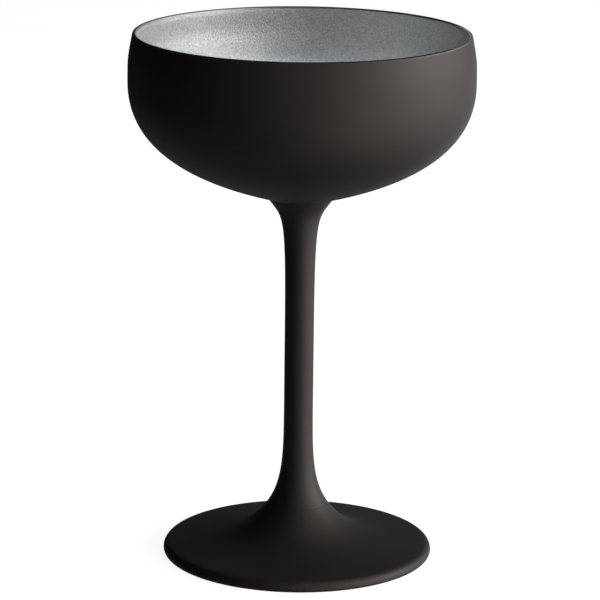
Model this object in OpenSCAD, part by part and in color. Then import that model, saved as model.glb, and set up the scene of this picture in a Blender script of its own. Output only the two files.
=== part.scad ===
// Champagne coupe: a blown glass bowl on a drawn stem and a pressed foot, lacquered matt black on
// the outside and silver inside the bowl. It stands on z = 0 with its axis along +Z, in millimetres.
// Outside sizes are over the lacquer.

/* [Overall] */
// Height from the table to the top of the lip
height = 147; // [140:0.5:155]

/* [Bowl] */
// Widest diameter of the bowl
bowl_d = 94.8; // [88:0.1:102]
// Diameter over the lip
rim_d = 92.3; // [86:0.1:94]
// Depth of the bowl's outside, from the lip down to its weld with the stem
bowl_h = 45.4; // [41:0.1:50]
// Height of the widest line above the weld
belly_h = 32; // [29:0.5:34]
// Slope of the bowl's underside where it leaves the weld, in degrees
underside_slope = 16; // [12:1:20]
// Inward lean of the wall at the lip, in degrees
rim_lean = 10.8; // [6:0.1:14]
// Thickness of the rounded lip, over the lacquer
lip_t = 1.1; // [0.9:0.1:1.5]
// Thickness of the wall at the widest line
wall_t = 1.3; // [1.1:0.1:1.6]
// Thickness of the bowl's floor over the weld
floor_t = 2.6; // [2.2:0.1:3.4]

/* [Stem] */
// Diameter of the stem at its waist
stem_d = 8.1; // [7:0.1:9]
// Diameter of the flared stem top, at the weld under the bowl
stem_top_d = 18.5; // [17:0.1:21]
// Height of the lower end of the straight waist
waist_low_h = 45.5; // [43:0.5:50]
// Height of the upper end of the straight waist
waist_high_h = 66; // [62:0.5:70]

/* [Foot] */
// Diameter of the foot
foot_d = 75; // [70:0.5:80]
// Rise of the foot's top surface where it leaves the rounded edge, in degrees
foot_slope = 7; // [4:0.5:10]
// Diameter of the hub, where the foot's top turns into the stem's flare
hub_d = 23.7; // [22:0.1:26]
// Height of the surface there
hub_h = 10.2; // [9:0.1:11.5]
// Slope of the surface there, in degrees
hub_slope = 43; // [40:0.5:46]
// Height of the weld between the foot and the stem
foot_weld_h = 14.4; // [13:0.1:18]
// Inner diameter of the flat ring that the glass rests on
rest_in_d = 66; // [60:0.5:68]
// Height of the hollow under the middle of the foot
hollow_h = 1.8; // [1:0.1:2.5]

/* [Lacquer] */
// Thickness of both lacquer films
film_t = 0.1; // [0.06:0.01:0.15]

/* [Hidden] */
$fn = 96;

// Steps along the long curves and along the short ones
long_steps = 28;
short_steps = 12;

// Rounding of the foot's edge, below its widest line (glass) and above it (over the lacquer)
edge_low_r = 1.1;
edge_high_r = 2;
// How far the black lacquer wraps below the foot's widest line, in degrees
coat_wrap = 50;
// How far it reaches over the crest of the lip, in degrees
lip_wrap = 15;
// Slope of the stem's outline where it meets the bowl, in degrees
stem_top_slope = 54;

// Reach of each curve's two handles, as a share of the stretch that the curve spans
foot_top_reach = [0.53, 0.3];
flare_reach = [0.31, 0.56];
stem_top_reach = [0.9, 0.21];
underside_reach = [0.55, 0.58];
wall_reach = [0.48, 0.48];
floor_reach = [0.64, 0.46];

bowl_r = bowl_d / 2;
inner_r = bowl_r - wall_t;
foot_r = foot_d / 2;
stem_r = stem_d / 2;
lip_r = lip_t / 2;
weld_h = height - bowl_h;
belly_z = weld_h + belly_h;
floor_z = weld_h + floor_t;
wall_h = height - belly_z;

// Unit vectors along the wall at the lip, and square to it, away from the axis
rim_up = [-sin(rim_lean), cos(rim_lean)];
rim_out = [cos(rim_lean), sin(rim_lean)];
lip_centre = [rim_d / 2 - lip_r, height - lip_r];

// Centres of the foot's edge roundings. The glass rests on z = 0 inside the lower one.
low_centre = [foot_r - film_t - edge_low_r, edge_low_r];
high_centre = [foot_r - edge_high_r, edge_low_r];

// The inner end of the foot's rounded edge, and the hub where the foot's top meets the flare
edge_top = high_centre + edge_high_r * [sin(foot_slope), cos(foot_slope)];
hub = [hub_d / 2, hub_h];
hub_up = [-cos(hub_slope), sin(hub_slope)];
foot_top_w = edge_top[0] - hub[0];
flare_h = waist_low_h - hub_h;

// The stem's straight waist, its flared top and the inside of the lip
waist_low = [stem_r, waist_low_h];
waist_high = [stem_r, waist_high_h];
stem_top_h = weld_h - waist_high_h;
weld_edge = [stem_top_d / 2, weld_h];
underside_w = bowl_r - weld_edge[0];
lip_inside = lip_centre - lip_r * rim_out;

// Point at t on the cubic Bezier curve with the control points p, and its direction there
function bezier(p, t) =
    pow(1 - t, 3) * p[0] + 3 * pow(1 - t, 2) * t * p[1]
    + 3 * (1 - t) * t * t * p[2] + pow(t, 3) * p[3];
function heading(p, t) =
    pow(1 - t, 2) * (p[1] - p[0]) + 2 * (1 - t) * t * (p[2] - p[1]) + t * t * (p[3] - p[2]);
// Unit vector to the right of the direction d
function right_of(d) = [d[1], -d[0]] / norm(d);
// Points along a Bezier curve, moved by "out" to its right
function curve(p, steps, out) =
    [for (i = [0 : steps]) bezier(p, i / steps) + out * right_of(heading(p, i / steps))];
// Points along an arc from one angle to another
function arc(centre, r, from, to) =
    [
        for (i = [0 : short_steps])
            let (a = from + (to - from) * i / short_steps) centre + r * [cos(a), sin(a)]
    ];
function reversed(points) = [for (i = [len(points) - 1 : -1 : 0]) points[i]];

// The outline runs up the outside, over the lip and down the inside, with the air on its right.
// Each stretch is moved by "out" towards the air: 0 is the lacquer's surface, -film_t the glass.

function foot_edge(out) =
    concat(
        arc(low_centre, edge_low_r + film_t + out, -coat_wrap, 0),
        arc(high_centre, edge_high_r + out, 0, 90 - foot_slope)
    );

function foot_top(out) =
    curve(
        [
            edge_top,
            edge_top + foot_top_reach[0] * foot_top_w * [-cos(foot_slope), sin(foot_slope)],
            hub - foot_top_reach[1] * foot_top_w * hub_up,
            hub
        ],
        long_steps, out
    );

function flare(out) =
    curve(
        [
            hub,
            hub + flare_reach[0] * flare_h * hub_up,
            waist_low - [0, flare_reach[1] * flare_h],
            waist_low
        ],
        long_steps, out
    );

function stem_top(out) =
    curve(
        [
            waist_high,
            waist_high + [0, stem_top_reach[0] * stem_top_h],
            weld_edge - stem_top_reach[1] * stem_top_h * [cos(stem_top_slope), sin(stem_top_slope)],
            weld_edge
        ],
        long_steps, out
    );

function underside(out) =
    curve(
        [
            weld_edge,
            weld_edge + underside_reach[0] * underside_w * [cos(underside_slope), sin(underside_slope)],
            [bowl_r, belly_z - underside_reach[1] * belly_h],
            [bowl_r, belly_z]
        ],
        long_steps, out
    );

// The wall between the belly's radius r and a point of the lip, going up
function wall(r, lip_point) =
    [
        [r, belly_z],
        [r, belly_z + wall_reach[0] * wall_h],
        lip_point - wall_reach[1] * wall_h * rim_up,
        lip_point
    ];

function lip_outside(out) = arc(lip_centre, lip_r + out, rim_lean, 90 + lip_wrap);

function inside(out) =
    concat(
        arc(lip_centre, lip_r + out, 90 + lip_wrap, 180 + rim_lean),
        curve(reversed(wall(inner_r, lip_inside)), short_steps, out),
        curve(
            [
                [inner_r, belly_z],
                [inner_r, belly_z - floor_reach[0] * (belly_z - floor_z)],
                [floor_reach[1] * inner_r, floor_z],
                [0, floor_z]
            ],
            long_steps, out
        )
    );

// The foot and stem, from the lacquer's lower end to the bowl
function leg(out) = concat(foot_edge(out), foot_top(out), flare(out), stem_top(out));

// The bowl's outside and its lip, as far as the black lacquer goes
function bowl_outside(out) =
    concat(
        underside(out),
        curve(wall(bowl_r, lip_centre + lip_r * rim_out), short_steps, out),
        lip_outside(out)
    );

// The hollow under the foot, from the axis out to the ring that it rests on
function hollow() =
    [
        for (i = [0 : short_steps])
            let (s = i / short_steps) [s * rest_in_d / 2, hollow_h * (1 - s * s)]
    ];

glass_leg = leg(-film_t);
glass_weld = glass_leg[len(glass_leg) - 1];

// The whole glass leg, foot and stem in one outline
module leg_outline() {
    polygon(
        concat(
            hollow(),
            arc(low_centre, edge_low_r, -90, -coat_wrap),
            glass_leg,
            [[0, glass_weld[1]]]
        )
    );
}

module bowl() {
    color("lightcyan")
        rotate_extrude()
            polygon(concat([[0, glass_weld[1]], glass_weld], bowl_outside(-film_t), inside(-film_t)));
}

module stem() {
    color("lightcyan")
        rotate_extrude()
            intersection() {
                leg_outline();
                translate([0, foot_weld_h]) square([foot_r, height]);
            }
}

module foot() {
    color("lightcyan")
        rotate_extrude()
            intersection() {
                leg_outline();
                square([foot_r, foot_weld_h]);
            }
}

// The black film, one skin from under the foot's edge to just past the crest of the lip
module outer_coat() {
    color([0.13, 0.12, 0.12])
        rotate_extrude()
            polygon(
                concat(
                    leg(0), bowl_outside(0),
                    reversed(concat(glass_leg, bowl_outside(-film_t)))
                )
            );
}

// The silver film, from the crest of the lip down over the inside of the bowl
module lining() {
    color([0.7, 0.71, 0.72])
        rotate_extrude()
            polygon(concat(inside(0), reversed(inside(-film_t))));
}

bowl();
stem();
foot();
outer_coat();
lining();
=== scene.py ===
import math

import bpy
from mathutils import Matrix, Vector


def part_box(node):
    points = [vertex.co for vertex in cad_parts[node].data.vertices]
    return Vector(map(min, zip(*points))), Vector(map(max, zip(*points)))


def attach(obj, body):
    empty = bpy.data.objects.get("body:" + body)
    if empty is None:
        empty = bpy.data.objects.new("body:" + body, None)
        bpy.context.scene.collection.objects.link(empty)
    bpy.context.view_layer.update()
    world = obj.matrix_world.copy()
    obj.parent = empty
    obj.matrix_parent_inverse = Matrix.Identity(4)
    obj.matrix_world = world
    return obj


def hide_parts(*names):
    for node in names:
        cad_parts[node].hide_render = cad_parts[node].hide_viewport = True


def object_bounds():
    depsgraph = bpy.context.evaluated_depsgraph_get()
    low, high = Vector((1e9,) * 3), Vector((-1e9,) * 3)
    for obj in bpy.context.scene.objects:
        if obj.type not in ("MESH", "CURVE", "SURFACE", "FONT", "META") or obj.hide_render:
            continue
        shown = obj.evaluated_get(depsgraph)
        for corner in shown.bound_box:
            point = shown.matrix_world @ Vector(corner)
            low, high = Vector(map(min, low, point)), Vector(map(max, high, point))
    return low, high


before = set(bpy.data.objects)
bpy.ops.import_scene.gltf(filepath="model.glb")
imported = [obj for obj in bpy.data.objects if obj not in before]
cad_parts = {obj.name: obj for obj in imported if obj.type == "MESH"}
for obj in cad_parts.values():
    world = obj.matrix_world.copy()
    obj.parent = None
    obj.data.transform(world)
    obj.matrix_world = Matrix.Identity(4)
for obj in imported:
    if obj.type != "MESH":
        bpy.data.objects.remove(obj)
CAD_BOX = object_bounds()

MM = 0.001
TOP = CAD_BOX[1][2]

# Turned surfaces: segments round the axis, longest step and largest turn along an outline, and the
# turns that stay a crisp edge or count as the end of a side
SEGMENTS = 160
STEP = 1.6 * MM
TURN = math.radians(4)
EDGE = math.radians(18)
END = math.radians(60)

# Digits that coordinates are compared to, the distance that goes with them, and how close to the axis
# a point of an outline counts as on it
DIGITS = 7
SAME = 10**-DIGITS
AXIS_REACH = 0.01 * MM

# The films are built this deep, a little more than in CAD, so that light inside the glass meets
# the paint before it meets the back of its own wall
FILM_DEPTH = 0.12 * MM

# The weld ring on the hub, where the stem joins the foot: the groove's depth and width, how far its
# outline is made finer above and below it, and the step there
WELD_DEPTH = 0.03 * MM
WELD_WIDTH = 0.22 * MM
WELD_REACH = 5 * WELD_WIDTH
WELD_STEP = WELD_WIDTH / 3


# ---------------------------------------------------------------- outlines read from the CAD frame


def seam(name):
    """A CAD node's outline as (radius, height) points, walked along its seam at +X from its lowest end."""
    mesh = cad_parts[name].data
    key_of = {}
    for v in mesh.vertices:
        if abs(v.co.y) < SAME and v.co.x > -SAME:
            key_of[v.index] = (round(max(v.co.x, 0.0), DIGITS), round(v.co.z, DIGITS))
    links = {}
    for e in mesh.edges:
        a, b = (key_of.get(i) for i in e.vertices)
        if a and b and a != b:
            links.setdefault(a, set()).add(b)
            links.setdefault(b, set()).add(a)
    ends = sorted((k for k in links if len(links[k]) == 1), key=lambda k: (k[1], k[0]))
    at = ends[0] if ends else min(links, key=lambda k: (k[1], k[0]))
    walk, seen = [at], {at}
    while links[at] - seen:
        at = max(links[at] - seen)
        walk.append(at)
        seen.add(at)
    return [Vector(k) for k in walk]


def turn_at(before, at, after):
    """How far the line turns at a point."""
    a, b = at - before, after - at
    if a.length < SAME or b.length < SAME:
        return 0.0
    return abs(a.angle_signed(b))


def sides(points, closed):
    """The outline cut at its square ends: a list of point lists that share their end points."""
    n = len(points)
    span = range(n) if closed else range(1, n - 1)
    cuts = [i for i in span if turn_at(points[i - 1], points[i], points[(i + 1) % n]) > END]
    if closed:
        loop = points[cuts[0]:] + points[: cuts[0] + 1]
        marks = [c - cuts[0] for c in cuts] + [n]
        return [loop[a : b + 1] for a, b in zip(marks, marks[1:])]
    marks = [0, *cuts, n - 1]
    return [points[a : b + 1] for a, b in zip(marks, marks[1:])]


def mirrored(way, line):
    """A direction mirrored in the direction of a line."""
    return 2 * line.dot(way) * line - way


def on_curve(start, leaving, end, arriving, t):
    """The point at t, from 0 to 1, on a cubic curve with a unit direction at each end."""
    length = (end - start).length
    share = 2 * t**3 - 3 * t**2 + 1
    bulge = (t**3 - 2 * t**2 + t) * leaving + (t**3 - t**2) * arriving
    return share * start + (1 - share) * end + length * bulge


def smooth(points):
    """The same line with more points, on a smooth curve between the crisp edges."""
    n = len(points)
    tangents = {}
    for i in range(1, n - 1):
        if turn_at(points[i - 1], points[i], points[i + 1]) <= EDGE:
            a, b = points[i] - points[i - 1], points[i + 1] - points[i]
            tangents[i] = (a / a.length * b.length + b / b.length * a.length).normalized()
    out = [points[0]]
    for i in range(n - 1):
        start, end = points[i], points[i + 1]
        chord = end - start
        along = chord.normalized()
        # At a crisp edge the curve has the mirror image of the direction at its other end
        leaving = tangents.get(i) or mirrored(tangents.get(i + 1) or along, along)
        arriving = tangents.get(i + 1) or mirrored(leaving, along)
        turn = abs(leaving.angle_signed(arriving))
        count = max(1, math.ceil(chord.length / STEP), math.ceil(turn / TURN))
        out += [on_curve(start, leaving, end, arriving, k / count) for k in range(1, count + 1)]
    return out


def normal_at(points, i):
    """The unit vector to the left of the line at point i."""
    a = points[max(i - 1, 0)]
    b = points[min(i + 1, len(points) - 1)]
    d = (b - a).normalized()
    return Vector((-d.y, d.x))


def offset(points, depth):
    """The line moved to its left by depth. A point that lands close to the axis goes onto it."""
    moved = [p + depth * normal_at(points, i) for i, p in enumerate(points)]
    for p in moved:
        if p.x < AXIS_REACH:
            p.x = 0.0
    return moved


def finer(points, low, high, step):
    """The line with more points between two heights."""
    out = [points[0]]
    for p, q in zip(points, points[1:]):
        inside = low < (p.y + q.y) / 2 < high
        count = max(1, math.ceil((q - p).length / step)) if inside else 1
        out += [p.lerp(q, k / count) for k in range(1, count + 1)]
    return out


# ---------------------------------------------------------------- turned meshes


def cleaned(outline):
    """A closed outline without doubled points, in the order that turns into outward faces."""
    line = []
    for p in outline:
        if not line or (p - line[-1]).length > SAME:
            line.append(p)
    if (line[0] - line[-1]).length < SAME:
        line.pop()
    area = sum(p.x * q.y - q.x * p.y for p, q in zip(line, line[1:] + line[:1]))
    return line if area > 0 else line[::-1]


def turned(name, outline, segments=SEGMENTS):
    """A solid turned from a closed outline of (radius, height) points, which may touch the axis."""
    line = cleaned(outline)
    n = len(line)
    crisp = [turn_at(line[i - 1], line[i], line[(i + 1) % n]) > EDGE for i in range(n)]
    rings, verts, ring_of = [], [], []
    for j, p in enumerate(line):
        count = 1 if p.x < AXIS_REACH else segments
        rings.append([len(verts) + k for k in range(count)])
        for k in range(count):
            a = 2 * math.pi * k / segments
            verts.append((p.x * math.cos(a), p.x * math.sin(a), p.y))
            ring_of.append(j)
    faces = []
    for low, high in zip(rings, rings[1:] + rings[:1]):
        for k in range(segments):
            m = (k + 1) % segments
            corners = [low[k % len(low)], low[m % len(low)], high[m % len(high)], high[k % len(high)]]
            # A face at the axis is a triangle, and along the axis there is none
            corners = list(dict.fromkeys(corners))
            if len(corners) > 2:
                faces.append(corners)
    mesh = bpy.data.meshes.new(name)
    mesh.from_pydata(verts, [], faces)
    mesh.polygons.foreach_set("use_smooth", [True] * len(mesh.polygons))
    for e in mesh.edges:
        a, b = e.vertices
        if ring_of[a] == ring_of[b] and crisp[ring_of[a]]:
            e.use_edge_sharp = True
    mesh.update()
    piece = bpy.data.objects.new(name, mesh)
    bpy.context.scene.collection.objects.link(piece)
    return piece


def film(air_side, glass_is_left):
    """A film's closed outline: the side in the air, and the side in the glass at FILM_DEPTH from it."""
    depth = FILM_DEPTH if glass_is_left else -FILM_DEPTH
    return air_side + offset(air_side, depth)[::-1]


def weld_ring(points, height):
    """The line with a shallow rounded groove at a height."""
    points = finer(points, height - WELD_REACH, height + WELD_REACH, WELD_STEP)
    near = min(range(len(points)), key=lambda i: (abs(points[i].y - height), -points[i].x))
    along = [0.0]
    for p, q in zip(points, points[1:]):
        along.append(along[-1] + (q - p).length)
    out = []
    for i, p in enumerate(points):
        dip = WELD_DEPTH * math.exp(-(((along[i] - along[near]) / WELD_WIDTH) ** 2) / 2)
        out.append(p + dip * normal_at(points, i))
    return out


def going_up(line):
    return line if line[0].y < line[-1].y else line[::-1]


def black_coat():
    """The black film, from the wider side of its outline, with the weld ring above the foot."""
    air_side = max(sides(seam("outer_coat"), closed=True), key=lambda side: max(p.x for p in side))
    line = weld_ring(smooth(going_up(air_side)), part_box("foot")[1].z)
    return turned("black_coat", film(line, glass_is_left=True))


def silver_lining():
    """The silver film, from the higher of the long sides of its outline."""
    long_sides = [side for side in sides(seam("lining"), closed=False) if len(side) > 2]
    air_side = max(long_sides, key=lambda side: min(p.y for p in side))
    return turned("silver_lining", film(smooth(going_up(air_side)), glass_is_left=False))


def glass_solid(name, node):
    """A solid of glass with a CAD node's outline, closed along the axis and kept inside the node's box."""
    low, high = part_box(node)
    outline = smooth(seam(node))
    for p in outline:
        p.x = min(p.x, high.x)
        p.y = min(max(p.y, low.z), high.z)
    first, last = outline[0], outline[-1]
    if first.x > AXIS_REACH:
        outline.insert(0, Vector((0.0, first.y)))
    if last.x > AXIS_REACH:
        outline.append(Vector((0.0, last.y)))
    return turned(name, outline)


# ---------------------------------------------------------------- materials


def grey(level):
    return (level, level, level, 1)


class Paint:
    """A node material, with patterns placed in the object's own space, in metres."""

    def __init__(self, name):
        self.material = bpy.data.materials.new(name)
        self.material.use_nodes = True
        self.tree = self.material.node_tree
        self.shader = self.tree.nodes["Principled BSDF"]
        self.place = self.node("TexCoord").outputs["Object"]
        self.x, self.y, self.z = self.node("SeparateXYZ", Vector=self.place).outputs

    def node(self, kind, settings=None, **inputs):
        n = self.tree.nodes.new("ShaderNode" + kind)
        for key, value in (settings or {}).items():
            setattr(n, key, value)
        for key, value in inputs.items():
            self.feed(n.inputs[key.replace("_", " ")], value)
        return n

    def feed(self, socket, value):
        if isinstance(value, bpy.types.NodeSocket):
            self.tree.links.new(value, socket)
        else:
            socket.default_value = value

    def noise(self, size, detail=2.0, roughness=0.5):
        """Soft noise from 0 to 1 with blobs of about this size."""
        n = self.node("TexNoise", Vector=self.place, Scale=1 / size, Detail=detail, Roughness=roughness)
        return n.outputs["Fac"]

    def cells(self, size):
        """Random cells of about this size: their own colours, and the distance from their centres."""
        n = self.node("TexVoronoi", Vector=self.place, Scale=1 / size)
        return n.outputs["Color"], n.outputs["Distance"]

    def math(self, operation, a, b=0.0, c=0.0):
        n = self.node("Math", {"operation": operation})
        for socket, value in zip(n.inputs, (a, b, c)):
            self.feed(socket, value)
        return n.outputs[0]

    def ramp(self, value, low, high, to_low=0.0, to_high=1.0):
        """Value's range from low to high, turned into to_low to to_high with soft ends."""
        n = self.node("MapRange", {"interpolation_type": "SMOOTHSTEP"}, Value=value)
        for key, v in (("From Min", low), ("From Max", high), ("To Min", to_low), ("To Max", to_high)):
            self.feed(n.inputs[key], v)
        return n.outputs["Result"]

    def rise(self, low, high, to_low=0.0, to_high=1.0):
        """A ramp of height, between two depths under the crest of the lip, in millimetres."""
        return self.ramp(self.z, TOP - low * MM, TOP - high * MM, to_low, to_high)

    def times(self, a, b):
        return self.math("MULTIPLY", a, b)

    def blend(self, a, b, share):
        """Two values added up, with this share of a and the rest of b."""
        return self.math("ADD", self.times(a, share), self.times(b, 1 - share))

    def mix(self, share, a, b):
        """Colour a turning into colour b as share goes from 0 to 1."""
        n = self.node("Mix", {"data_type": "RGBA"})
        for socket, value in ((n.inputs[0], share), (n.inputs[6], a), (n.inputs[7], b)):
            self.feed(socket, value)
        return n.outputs[2]

    def bump(self, height, depth, normal=None):
        n = self.node("Bump", Height=height, Strength=1.0, Distance=depth)
        if normal:
            self.feed(n.inputs["Normal"], normal)
        return n.outputs["Normal"]

    def finish(self, colour, roughness, normal, **fixed):
        self.feed(self.shader.inputs["Base Color"], colour)
        self.feed(self.shader.inputs["Roughness"], roughness)
        self.feed(self.shader.inputs["Normal"], normal)
        for key, value in fixed.items():
            self.shader.inputs[key.replace("_", " ")].default_value = value
        return self.material


def matt_black_coat():
    p = Paint("matt_black_coat")
    mist = p.noise(0.32 * MM, detail=2.0, roughness=0.6)
    peel = p.noise(1.7 * MM, detail=2.0)
    cloud = p.noise(24 * MM, detail=3.0)
    shade = p.ramp(p.blend(mist, cloud, 0.6), 0.3, 0.7)
    colour = p.mix(shade, (0.0032, 0.0027, 0.0024, 1), (0.0060, 0.0051, 0.0046, 1))
    # Specks of silver overspray on the crest of the lip
    speck, centre = p.cells(0.5 * MM)
    dot = p.times(p.ramp(speck, 0.80, 0.84), p.ramp(centre, 0.20, 0.38, 1.0, 0.0))
    colour = p.mix(p.times(dot, p.rise(0.22, 0.06)), colour, (0.30, 0.30, 0.31, 1))
    # A painted highlight: a light band round the shoulder of the lip at +X, where the light from the right
    # catches it, tilted down towards the front
    tilted = p.math("MULTIPLY_ADD", p.y, -0.013, p.z)
    painted_highlight_band = p.ramp(tilted, TOP - 0.16 * MM, TOP - 0.08 * MM)
    painted_highlight_band = p.times(painted_highlight_band, p.ramp(tilted, TOP + 0.22 * MM, TOP + 0.30 * MM, 1.0, 0.0))
    painted_highlight_band = p.times(painted_highlight_band, p.ramp(p.x, 20 * MM, 46 * MM))
    colour = p.mix(p.times(painted_highlight_band, p.ramp(mist, 0.25, 0.60)), colour, (0.065, 0.063, 0.061, 1))
    # A few dust nibs under the lacquer
    nib, middle = p.cells(5.0 * MM)
    nib_dot = p.times(p.ramp(middle, 0.018, 0.034, 1.0, 0.0), p.ramp(nib, 0.72, 0.74))
    colour = p.mix(nib_dot, colour, (0.085, 0.078, 0.072, 1))
    rough = p.ramp(p.blend(cloud, mist, 0.5), 0.3, 0.7, 0.57, 0.64)
    normal = p.bump(peel, 0.010 * MM)
    normal = p.bump(mist, 0.006 * MM, normal)
    normal = p.bump(nib_dot, 0.02 * MM, normal)
    tint = (1.0, 0.89, 0.836, 1)
    return p.finish(colour, rough, normal, Specular_IOR_Level=0.185, Specular_Tint=tint)


def silver_spray():
    p = Paint("silver_spray")
    flake, _ = p.cells(0.36 * MM)
    grain = p.noise(0.44 * MM, detail=2.0, roughness=0.6)
    drift = p.noise(13 * MM, detail=2.0)
    glint = p.node("SeparateColor", Color=flake).outputs
    tone = p.ramp(p.blend(glint[0], grain, 0.5), 0.2, 0.8)
    base_silver = p.mix(tone, (0.360, 0.366, 0.370, 1), (0.510, 0.519, 0.524, 1))
    painted_lit_silver = p.mix(tone, (0.55, 0.559, 0.565, 1), (0.75, 0.763, 0.770, 1))
    # Painted light: the silver is painted paler from about 9 mm under the lip downwards, most where the
    # wall turns into the floor, for the light from above that this part faces
    painted_light_band = p.times(p.rise(19, 9, 1.0, 0.0), p.rise(27, 21, 0.65, 1.0))
    colour = p.mix(painted_light_band, base_silver, painted_lit_silver)
    # At -X a painted highlight makes a pale band under the lip, and black mist dims the silver above it
    painted_light_under_lip = p.times(p.rise(2.0, 1.2), p.ramp(p.x, -24 * MM, -4 * MM, 0.2, 0.0))
    colour = p.mix(painted_light_under_lip, colour, (0.78, 0.79, 0.795, 1))
    mist = p.times(p.rise(0.80, 0.42), p.ramp(p.x, 0.0, 16 * MM, 0.92, 0.0))
    colour = p.mix(mist, colour, grey(0.10))
    # The black spray's edge wanders over the lip: lowest at the back right, level with the crest at +X
    reach = p.math("MULTIPLY_ADD", p.y, 0.91, p.times(p.x, 0.42))
    border = p.math("MULTIPLY_ADD", p.x, 1.2 * MM, TOP - 0.06 * MM)
    border = p.math("SUBTRACT", border, p.ramp(reach, 25 * MM, 40 * MM, 0.0, 0.40 * MM))
    border = p.math("MULTIPLY_ADD", p.math("SUBTRACT", grain, 0.5), 0.10 * MM, border)
    black = p.ramp(p.math("SUBTRACT", p.z, border), 0.0, 0.02 * MM)
    # The last of the silver lies dull on the round of the lip, and a painted highlight makes it palest at
    # +X
    lip = p.rise(0.55, 0.30)
    painted_highlight_rim = p.times(p.rise(0.24, 0.14), p.ramp(p.x, 36 * MM, 44 * MM))
    colour = p.mix(painted_highlight_rim, colour, grey(0.80))
    colour = p.mix(black, colour, (0.03, 0.027, 0.025, 1))
    dull = p.math("MULTIPLY_ADD", lip, -0.45, p.math("MULTIPLY_ADD", painted_highlight_rim, -0.45, 1.0))
    p.feed(p.shader.inputs["Metallic"], p.times(p.math("SUBTRACT", 1.0, black), dull))
    rough = p.ramp(p.blend(glint[1], drift, 0.5), 0.2, 0.8, 0.41, 0.50)
    normal = p.bump(grain, 0.10 * MM)
    normal = p.bump(glint[2], 0.02 * MM, normal)
    return p.finish(colour, rough, normal)


def blown_glass():
    p = Paint("blown_glass")
    wave = p.noise(9 * MM, detail=1.0)
    colour = p.mix(p.ramp(wave, 0.3, 0.7), (0.975, 0.985, 0.980, 1), (0.985, 0.990, 0.988, 1))
    # Fine scuffs on the ring that the glass stands on
    radius = p.math("SQRT", p.math("ADD", p.times(p.x, p.x), p.times(p.y, p.y)))
    ring = p.times(p.ramp(p.z, 0.05 * MM, 0.25 * MM, 1.0, 0.0), p.ramp(radius, 31.5 * MM, 33.5 * MM))
    wear = p.times(ring, p.ramp(p.noise(0.5 * MM, detail=4.0, roughness=0.7), 0.45, 0.6))
    rough = p.math("MULTIPLY_ADD", wear, 0.22, 0.015)
    normal = p.bump(wave, 0.05 * MM)
    normal = p.bump(wear, 0.004 * MM, normal)
    return p.finish(colour, rough, normal, Transmission_Weight=1.0, IOR=1.52)


glass = blown_glass()
for piece, node, slot, material in (
    (black_coat(), "outer_coat", "black_lacquer", matt_black_coat()),
    (silver_lining(), "lining", "silver_lacquer", silver_spray()),
    (glass_solid("glass_bowl", "bowl"), "bowl", "glass", glass),
    (glass_solid("glass_stem", "stem"), "stem", "glass", glass),
    (glass_solid("glass_foot", "foot"), "foot", "glass", glass),
):
    piece.data.materials.append(material)
    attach(piece, "root")
    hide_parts(node)


# ---------------------------------------------------------------- stage

# The stage: radius and number of sides of the floor and the backdrop, the height of the floor, and the
# heights where the backdrop's wall starts and where it turns into its roof
STAGE_R = 6.0
STAGE_SIDES = 64
FLOOR_Z = -0.02 * MM
WALL_LOW_Z = -0.5
WALL_HIGH_Z = 0.7 * STAGE_R

# The height that the lights aim at, and their distance from it
AIM_Z = 0.6 * TOP
LIGHT_REACH = 1.3

# The camera fitted to the photo: its place, its lens in millimetres, and how far it looks down and rolls
CAMERA_AT = (0.0001, -0.8699, 0.2928)
CAMERA_LENS = 195.0
CAMERA_DOWN = math.radians(14.215)
CAMERA_ROLL = math.radians(0.65)


def disc(name, radius, z):
    mesh = bpy.data.meshes.new(name)
    turns = [2 * math.pi * k / STAGE_SIDES for k in range(STAGE_SIDES)]
    rim = [(radius * math.cos(a), radius * math.sin(a), z) for a in turns]
    mesh.from_pydata(rim, [], [list(range(STAGE_SIDES))])
    obj = bpy.data.objects.new(name, mesh)
    bpy.context.scene.collection.objects.link(obj)
    return obj


def glowing(p, strength):
    """The paint's material, with a white glow that lights nothing."""
    p.feed(p.shader.inputs["Emission Color"], grey(1))
    p.feed(p.shader.inputs["Emission Strength"], strength)
    p.material.cycles.emission_sampling = "NONE"
    return p.material


def floor_paint():
    p = Paint("pale_floor")
    tone = p.ramp(p.noise(60 * MM, detail=2.0), 0.3, 0.7)
    p.feed(p.shader.inputs["Base Color"], p.mix(tone, grey(0.115), grey(0.125)))
    p.feed(p.shader.inputs["Roughness"], 0.9)
    return glowing(p, 0.92)


def backdrop_paint():
    p = Paint("white_backdrop")
    p.feed(p.shader.inputs["Base Color"], grey(0))
    return glowing(p, 0.925)


floor = disc("floor", STAGE_R, FLOOR_Z)
floor.data.materials.append(floor_paint())

# A white dome that only the camera sees, round a dim room
dome = [(STAGE_R, WALL_LOW_Z), (STAGE_R, WALL_HIGH_Z), (0, STAGE_R), (0, WALL_LOW_Z)]
backdrop = turned("backdrop", [Vector(p) for p in dome], STAGE_SIDES)
backdrop.data.materials.append(backdrop_paint())

for piece in (floor, backdrop):
    piece.visible_diffuse = False
    piece.visible_glossy = False
    piece.visible_transmission = False
    piece.visible_shadow = False

world = bpy.data.worlds.new("studio")
world.use_nodes = True
room = world.node_tree.nodes["Background"]
room.inputs["Color"].default_value = grey(1)
room.inputs["Strength"].default_value = 0.035
bpy.context.scene.world = world
bpy.context.scene.view_settings.view_transform = "Standard"


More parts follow.
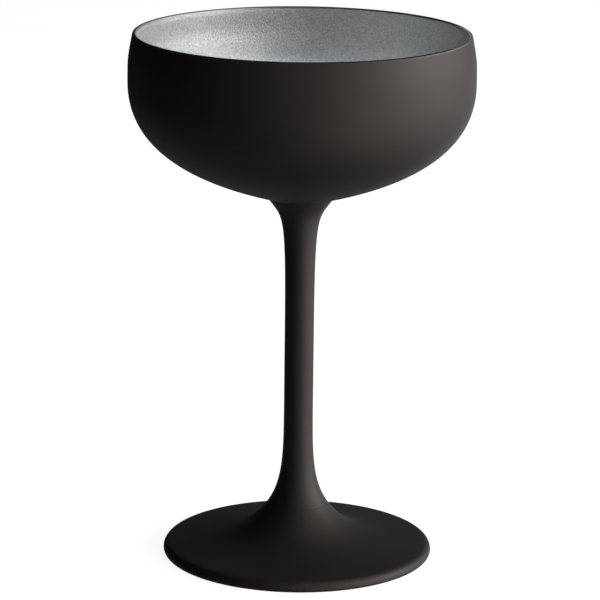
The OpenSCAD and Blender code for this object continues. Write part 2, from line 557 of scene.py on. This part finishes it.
def soft_light(name, azimuth, elevation, distance, width, height, watts):
    """A flat soft light that faces the middle of the glass, at azimuth 0 in front and 90 at the right."""
    data = bpy.data.lights.new(name, "AREA")
    data.shape = "RECTANGLE"
    data.size, data.size_y = width, height
    data.energy = watts
    lamp = bpy.data.objects.new(name, data)
    a, e = math.radians(azimuth), math.radians(elevation)
    way = Vector((math.sin(a) * math.cos(e), -math.cos(a) * math.cos(e), math.sin(e)))
    lamp.location = Vector((0, 0, AIM_Z)) + distance * way
    lamp.rotation_euler = way.to_track_quat("Z", "Y").to_euler()
    lamp.visible_camera = False
    bpy.context.scene.collection.objects.link(lamp)


# One long soft wall of light on the right, its glow off a white table below, and weak fills:
# azimuth, elevation, width, height and watts
for name, azimuth, elevation, width, height, watts in (
    ("wall_front", 45, 14, 0.6, 0.6, 10),
    ("wall_side", 75, 12, 0.6, 0.6, 22),
    ("wall_back", 105, 12, 0.6, 0.6, 16.8),
    ("table_glow_front", 45, -28, 0.7, 0.7, 11),
    ("table_glow_back", 95, -22, 0.8, 0.8, 7.8),
    ("front_fill", 0, 14, 0.8, 0.8, 2.5),
    ("back_fill", 150, -16, 0.8, 0.8, 2),
    ("back_low", 178, 8, 0.9, 0.5, 0.28),
    ("top_fill", 60, 60, 0.8, 0.8, 6.6),
):
    soft_light(name, azimuth, elevation, LIGHT_REACH, width, height, watts)

# The glow of the floor close under the glass
soft_light("floor_glow", 0, -90, distance=0.14, width=0.9, height=0.9, watts=0.55)

camera_data = bpy.data.cameras.new("camera")
camera_data.sensor_width = 36
camera_data.lens = CAMERA_LENS
# Past the far side of the backdrop
camera_data.clip_end = 3 * STAGE_R
camera = bpy.data.objects.new("camera", camera_data)
camera.matrix_world = (
    Matrix.Translation(CAMERA_AT)
    @ Matrix.Rotation(math.radians(90) - CAMERA_DOWN, 4, "X")
    @ Matrix.Rotation(CAMERA_ROLL, 4, "Z")
)
bpy.context.scene.collection.objects.link(camera)
bpy.context.scene.camera = camera

bpy.context.view_layer.update()
